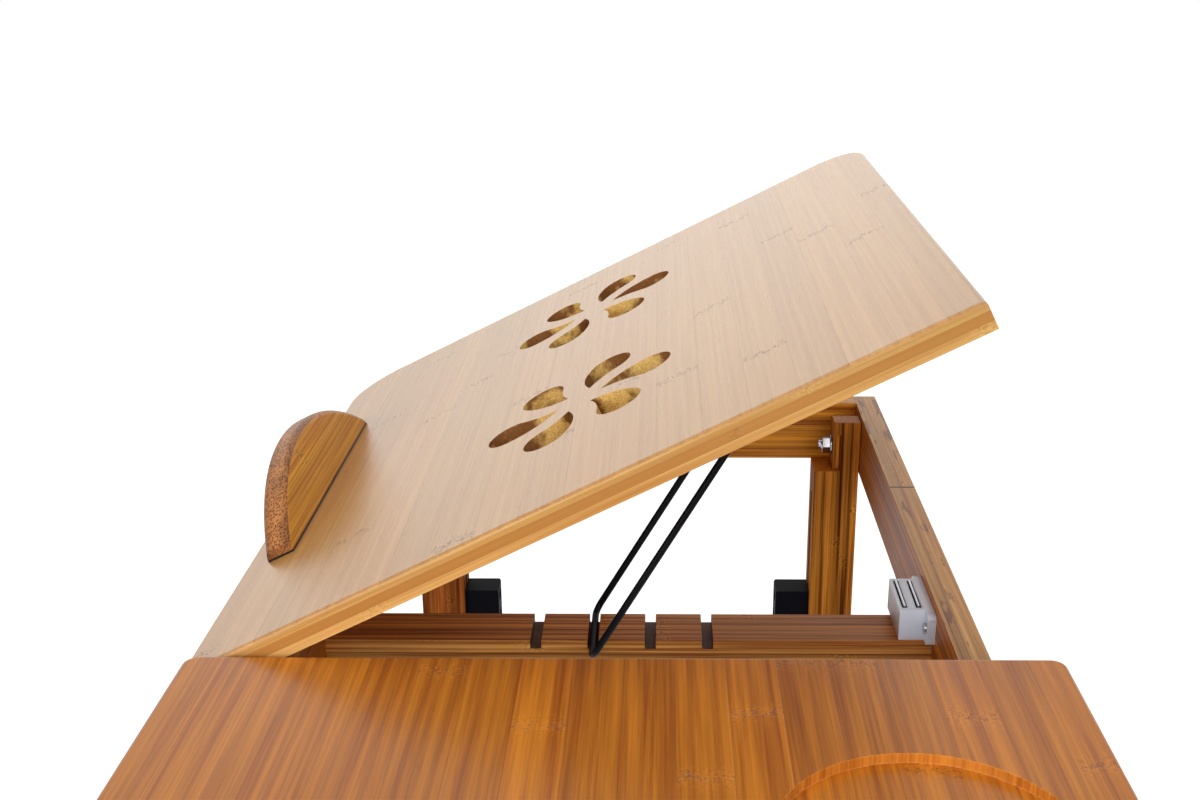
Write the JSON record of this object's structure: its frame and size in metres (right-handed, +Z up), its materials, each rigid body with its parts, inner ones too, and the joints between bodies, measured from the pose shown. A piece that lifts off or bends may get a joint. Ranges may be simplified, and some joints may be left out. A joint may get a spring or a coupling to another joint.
{
  "type": "laptop stand with drawer",
  "caption": "Bamboo laptop stand with a tilting vented panel on a notched wire prop, a fixed side panel over a drawer, and folding telescopic legs.",
  "frame": {"origin": "on the floor under the middle of the top", "axes": "+X along the length towards the fixed panel and drawer, -Y towards the user, +Z up"},
  "size_m": [0.55, 0.3549, 0.3605],
  "materials": {
    "pale_bamboo": "satin lacquer",
    "stop_bamboo": "satin lacquer",
    "top_bamboo": "satin lacquer",
    "frame_bamboo": "satin lacquer",
    "leg_bamboo": "satin lacquer",
    "plywood": "plain",
    "black_steel": "gloss black",
    "steel": "bright zinc",
    "white_plastic": "satin",
    "magnet": "matte",
    "black_plastic": "satin",
    "rubber": "matte"
  },
  "bodies": {
    "frame": {"back_rail_far": "frame_bamboo", "back_rail_near": "frame_bamboo", "catch_body": "white_plastic", "catch_magnet": "magnet", "catch_pole_plates": "steel", "catch_screws": "steel", "cross_batten": "frame_bamboo", "drawer_runner_back": "frame_bamboo", "drawer_runner_front": "frame_bamboo", "far_end_rail": "frame_bamboo", "fixed_panel": "top_bamboo", "frame_hinge_leaves": "steel", "frame_hinge_screws": "steel", "frame_screws": "steel", "front_rail": "frame_bamboo", "leg_bolts": "steel", "leg_nuts": "steel", "leg_washers": "steel", "near_end_block_back": "frame_bamboo", "near_end_block_front": "frame_bamboo", "rack_bar": "frame_bamboo", "rail_dowels": "frame_bamboo"},
    "tilting_panel": {"book_stop": "stop_bamboo", "hinge_pins": "steel", "panel_hinge_leaves": "steel", "panel_screws": "steel", "prop_brackets": "black_steel", "stop_screws": "steel", "strike_plate": "steel", "tilt_panel": "pale_bamboo"},
    "prop": {"prop_wire": "black_steel"},
    "drawer": {"drawer_back": "frame_bamboo", "drawer_floor": "plywood", "drawer_front": "frame_bamboo", "drawer_side_back": "frame_bamboo", "drawer_side_front": "frame_bamboo"},
    "near_upper_legs": {"near_back_upper_bar": "leg_bamboo", "near_front_upper_bar": "leg_bamboo", "near_lock_housings": "black_plastic", "near_lock_screws": "steel", "near_lock_springs": "steel"},
    "near_lower_legs": {"near_back_sliding_bar": "leg_bamboo", "near_foot_pads": "rubber", "near_front_sliding_bar": "leg_bamboo", "near_stretcher": "leg_bamboo", "near_stretcher_screws": "steel"},
    "near_front_button": {"near_front_lock_button": "black_plastic"},
    "near_back_button": {"near_back_lock_button": "black_plastic"},
    "far_upper_legs": {"far_back_upper_bar": "leg_bamboo", "far_front_upper_bar": "leg_bamboo", "far_lock_housings": "black_plastic", "far_lock_screws": "steel", "far_lock_springs": "steel"},
    "far_lower_legs": {"far_back_sliding_bar": "leg_bamboo", "far_foot_pads": "rubber", "far_front_sliding_bar": "leg_bamboo", "far_stretcher": "leg_bamboo", "far_stretcher_screws": "steel"},
    "far_front_button": {"far_front_lock_button": "black_plastic"},
    "far_back_button": {"far_back_lock_button": "black_plastic"}
  },
  "joints": [
    {"name": "panel_tilt", "type": "hinge", "parent": "frame", "child": "tilting_panel", "pos_m": [0, -0.15505, 0.2], "axis": [1, 0, 0], "range_deg": [0, 63.4]},
    {"name": "prop_swing", "type": "hinge", "parent": "tilting_panel", "child": "prop", "pos_m": [0.01, 0.05879, 0.30686], "axis": [1, 0, 0], "range_deg": [-32.7, 0]},
    {"name": "drawer_slide", "type": "slide", "parent": "frame", "child": "drawer", "axis": [1, 0, 0], "range_m": [0, 0.09]},
    {"name": "near_leg_fold", "type": "hinge", "parent": "frame", "child": "near_upper_legs", "pos_m": [0.2325, 0, 0.1825], "axis": [0, -1, 0], "range_deg": [-90, 0]},
    {"name": "near_leg_extend", "type": "slide", "parent": "near_upper_legs", "child": "near_lower_legs", "axis": [0, 0, -1], "range_m": [0, 0.07]},
    {"name": "near_front_button_press", "type": "slide", "parent": "near_upper_legs", "child": "near_front_button", "axis": [0, -1, 0], "range_m": [0, 0.003], "stiffness_N_per_m": 400, "springref_m": -0.001},
    {"name": "near_back_button_press", "type": "slide", "parent": "near_upper_legs", "child": "near_back_button", "axis": [0, 1, 0], "range_m": [0, 0.003], "stiffness_N_per_m": 400, "springref_m": -0.001},
    {"name": "far_leg_fold", "type": "hinge", "parent": "frame", "child": "far_upper_legs", "pos_m": [-0.2325, 0, 0.1825], "axis": [0, 1, 0], "range_deg": [-90, 0]},
    {"name": "far_leg_extend", "type": "slide", "parent": "far_upper_legs", "child": "far_lower_legs", "axis": [0, 0, -1], "range_m": [0, 0.07]},
    {"name": "far_front_button_press", "type": "slide", "parent": "far_upper_legs", "child": "far_front_button", "axis": [0, -1, 0], "range_m": [0, 0.003], "stiffness_N_per_m": 400, "springref_m": -0.001},
    {"name": "far_back_button_press", "type": "slide", "parent": "far_upper_legs", "child": "far_back_button", "axis": [0, 1, 0], "range_m": [0, 0.003], "stiffness_N_per_m": 400, "springref_m": -0.001}
  ]
}
